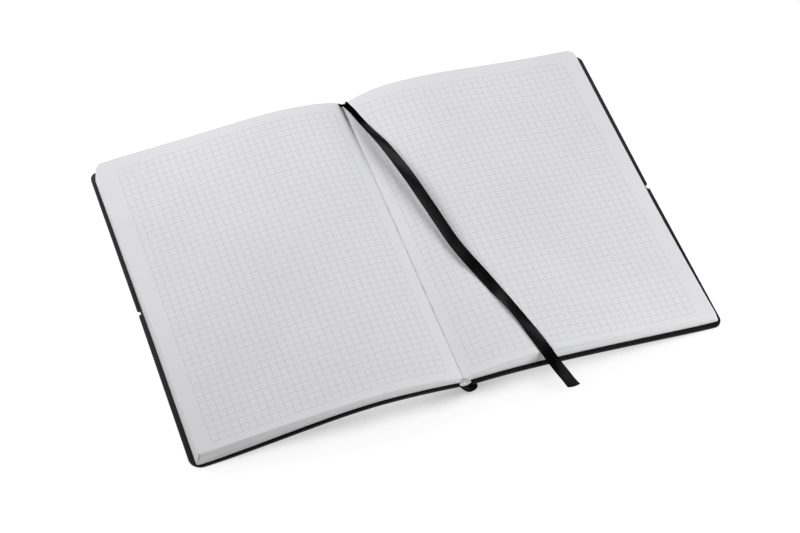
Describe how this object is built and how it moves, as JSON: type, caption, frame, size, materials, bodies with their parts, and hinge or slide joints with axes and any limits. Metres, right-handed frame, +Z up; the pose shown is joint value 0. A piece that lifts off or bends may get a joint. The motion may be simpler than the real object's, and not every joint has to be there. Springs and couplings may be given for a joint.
{
  "type": "composition notebook",
  "caption": "Flexible-cover squared notebook lying open, with arched page halves, a hollow spine and a ribbon marker.",
  "frame": {"origin": "on the table under the fold of the open pages, at the middle of the covers' height", "axes": "+X across the open spread towards the back cover, +Y along the spine towards the head, +Z up from the table"},
  "size_m": [0.3576, 0.2769, 0.0321],
  "materials": {
    "cover_skin": "matte black fine-grained leatherette",
    "board": "flexible grey-brown card",
    "endpaper": "smooth off-white paper",
    "pages": "smooth white paper with fine grey 5 mm squares",
    "lining": "white glued gauze",
    "thread": "dark waxed thread",
    "strip": "dark stiff card",
    "ribbon": "black woven satin"
  },
  "bodies": {
    "right_half": {"back_cover_skin": "cover_skin", "back_board": "board", "back_endpaper": "endpaper", "right_pages": "pages", "back_lining": "lining", "sewing_thread": "thread", "ribbon_marker": "ribbon"},
    "left_half": {"front_cover_skin": "cover_skin", "front_board": "board", "front_endpaper": "endpaper", "left_pages": "pages", "front_lining": "lining"},
    "spine": {"spine_skin": "cover_skin", "spine_strip": "strip"}
  },
  "joints": [
    {"name": "closing", "type": "hinge", "parent": "right_half", "child": "left_half", "pos_m": [0, 0, 0.0166], "axis": [0, 1, 0], "range_deg": [0, 140], "deforming": ["ribbon_marker"]},
    {"name": "spine_turn", "type": "hinge", "parent": "right_half", "child": "spine", "pos_m": [0, 0, 0.0166], "axis": [0, 1, 0], "range_deg": [0, 70]}
  ],
  "couplings": [
    {"joint": "spine_turn", "follows": "closing", "ratio": 0.5}
  ]
}
